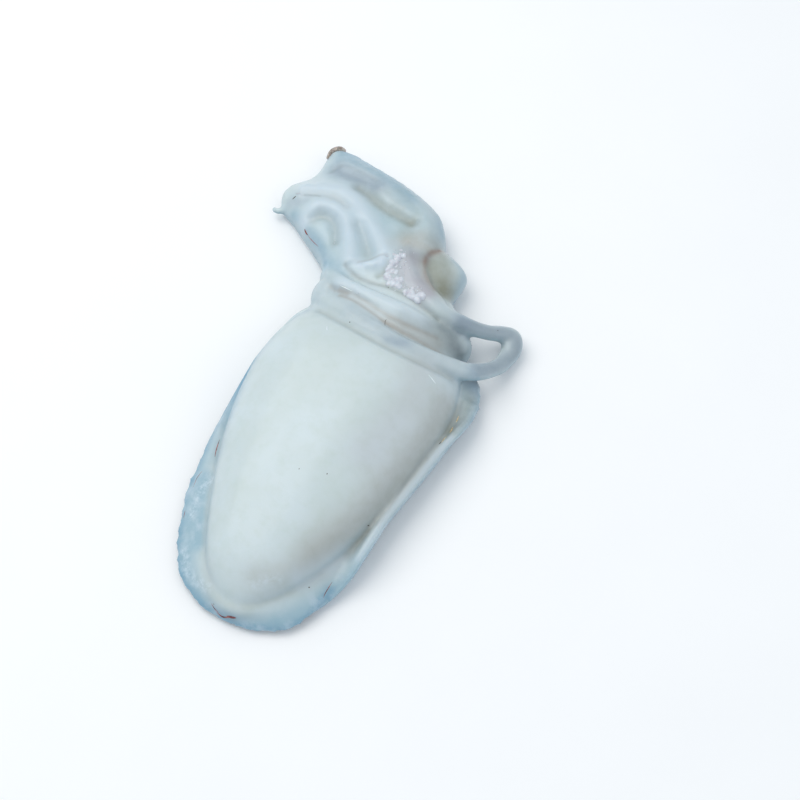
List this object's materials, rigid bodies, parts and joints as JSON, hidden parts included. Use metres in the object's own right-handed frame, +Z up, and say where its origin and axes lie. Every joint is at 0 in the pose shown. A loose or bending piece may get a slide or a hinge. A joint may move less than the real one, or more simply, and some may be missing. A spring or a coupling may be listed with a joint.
{
  "type": "raw cuttlefish",
  "caption": "Whole skinned raw cuttlefish lying flat: domed oval mantle with a thin fin, folded arms, an eye lobe and one looped tentacle.",
  "frame": {"origin": "centre of the bounding box in plan, on the surface that the cuttlefish lies on", "axes": "+Y along the mantle from the tail to the head, +Z up out of the side that shows"},
  "size_m": [0.1404, 0.2376, 0.036],
  "materials": {
    "flesh": "wet and slightly translucent"
  },
  "bodies": {
    "root": {"cuttlefish": "flesh"}
  },
  "joints": []
}
